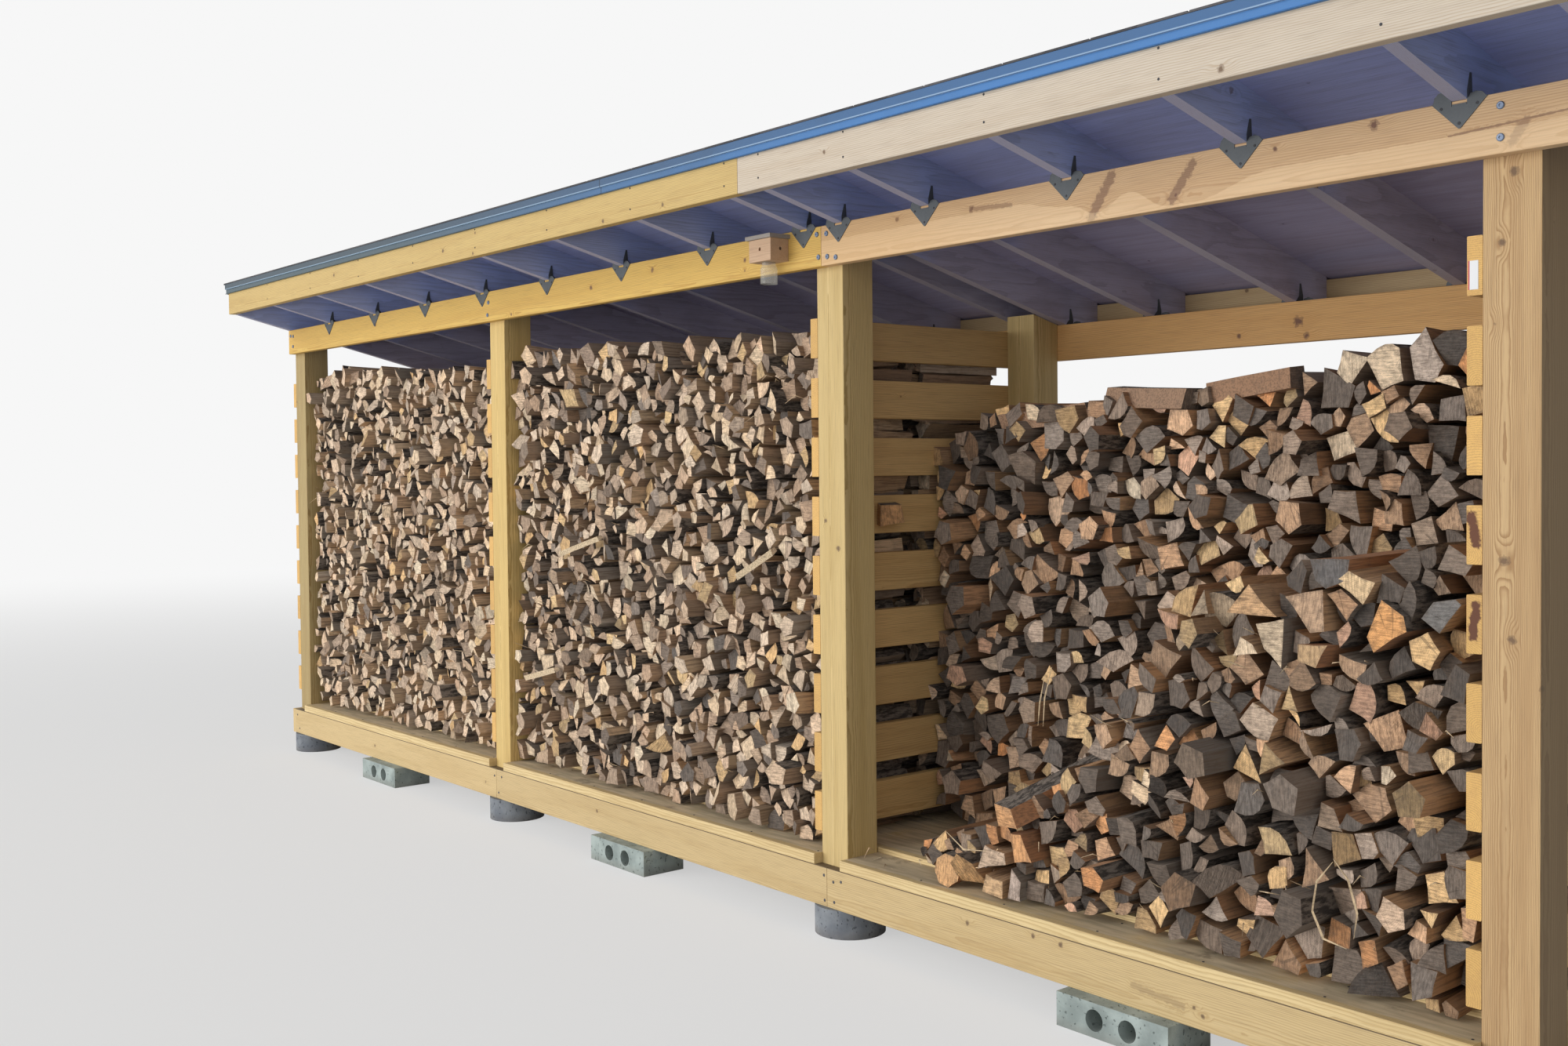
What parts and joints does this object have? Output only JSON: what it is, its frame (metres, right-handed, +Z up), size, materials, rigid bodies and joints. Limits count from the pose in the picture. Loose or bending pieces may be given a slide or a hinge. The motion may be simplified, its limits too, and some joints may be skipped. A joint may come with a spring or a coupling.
{
  "type": "log store",
  "caption": "Open-fronted timber log store on concrete piers, with slatted partitions, a roof falling to the back, and stacked firewood.",
  "frame": {"origin": "middle of the outline, on the ground under the piers", "axes": "+X along the front to the viewer's right, +Y from the front to the back, +Z up"},
  "size_m": [7.7738, 1.765, 2.7588],
  "materials": {
    "treated_pine": "sawn, lightly weathered",
    "treated_pine_slats": "sawn, sheltered, warmer in colour",
    "weathered_deck": "sawn, greyed",
    "roof_boarding": "sawn face of sheathing, in shade",
    "concrete": "cast, dusty",
    "galvanised_steel": "dull galvanised",
    "drip_metal": "satin enamel",
    "roof_covering": "granular bituminous shingle",
    "split_firewood": "split and bark faces, seasoned",
    "trap_cedar": "planed softwood",
    "clear_plastic": "clear jar",
    "tag_plastic": "printed label, left blank"
  },
  "bodies": {
    "root": {"piers": "concrete", "footing_blocks": "concrete", "front_rim": "treated_pine", "back_rim": "treated_pine", "end_joists": "treated_pine", "floor_joists": "treated_pine", "front_deck_boards": "weathered_deck", "floor_panel_1": "weathered_deck", "floor_panel_2": "weathered_deck", "floor_panel_3": "weathered_deck", "front_post_1": "treated_pine", "back_post_1": "treated_pine", "slat_wall_1": "treated_pine_slats", "front_post_2": "treated_pine", "back_post_2": "treated_pine", "slat_wall_2": "treated_pine_slats", "front_post_3": "treated_pine", "back_post_3": "treated_pine", "slat_wall_3": "treated_pine_slats", "front_post_4": "treated_pine", "back_post_4": "treated_pine", "slat_wall_4": "treated_pine_slats", "front_beam_left": "treated_pine", "front_beam_right": "treated_pine", "back_beam_left": "treated_pine", "back_beam_right": "treated_pine", "rafters": "treated_pine", "end_rafters": "treated_pine", "rafter_ties_front": "galvanised_steel", "rafter_ties_back": "galvanised_steel", "front_fascia_left": "treated_pine", "front_fascia_right": "treated_pine", "rear_fascia": "treated_pine", "roof_deck": "roof_boarding", "roof_covering": "roof_covering", "front_drip_edge": "drip_metal", "rear_drip_edge": "drip_metal", "rake_drip_edges": "drip_metal", "bee_trap_box": "trap_cedar", "bee_trap_lid": "trap_cedar", "bee_trap_jar": "clear_plastic", "slat_tag": "tag_plastic", "firewood_stack_1": "split_firewood", "firewood_stack_2": "split_firewood", "firewood_stack_3": "split_firewood"}
  },
  "joints": []
}
